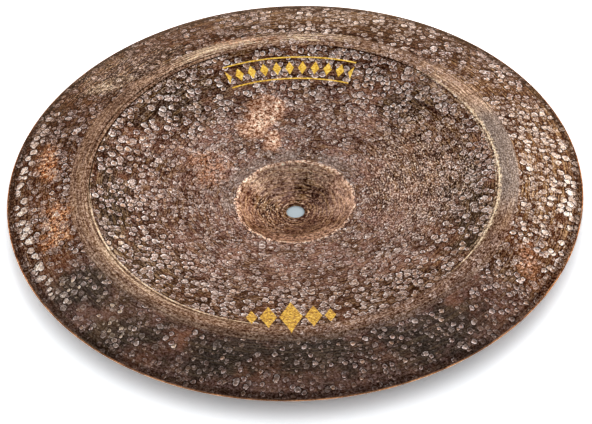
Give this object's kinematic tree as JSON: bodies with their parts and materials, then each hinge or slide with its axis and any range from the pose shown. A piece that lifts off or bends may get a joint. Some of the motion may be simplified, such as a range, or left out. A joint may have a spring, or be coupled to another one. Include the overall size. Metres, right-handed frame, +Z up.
{
  "type": "china cymbal",
  "caption": "Hand-hammered dark bronze china cymbal with a shallow bell, a bow, a raised ridge ring and a turned-back flange, lying bell down.",
  "frame": {"origin": "centre of the mounting hole at the crown's underside, the lowest point of the part as it lies bell down", "axes": "+Z up along the cymbal's axis, out of the open side of the bell; +Y away from the picture's camera, +X to its right"},
  "size_m": [0.4064, 0.4064, 0.0312],
  "materials": {
    "hammered_bronze": "cast bell bronze, hand hammered all over, dark brown patina with pale worn hammer marks"
  },
  "bodies": {
    "root": {"cymbal_plate": "hammered_bronze"}
  },
  "joints": []
}
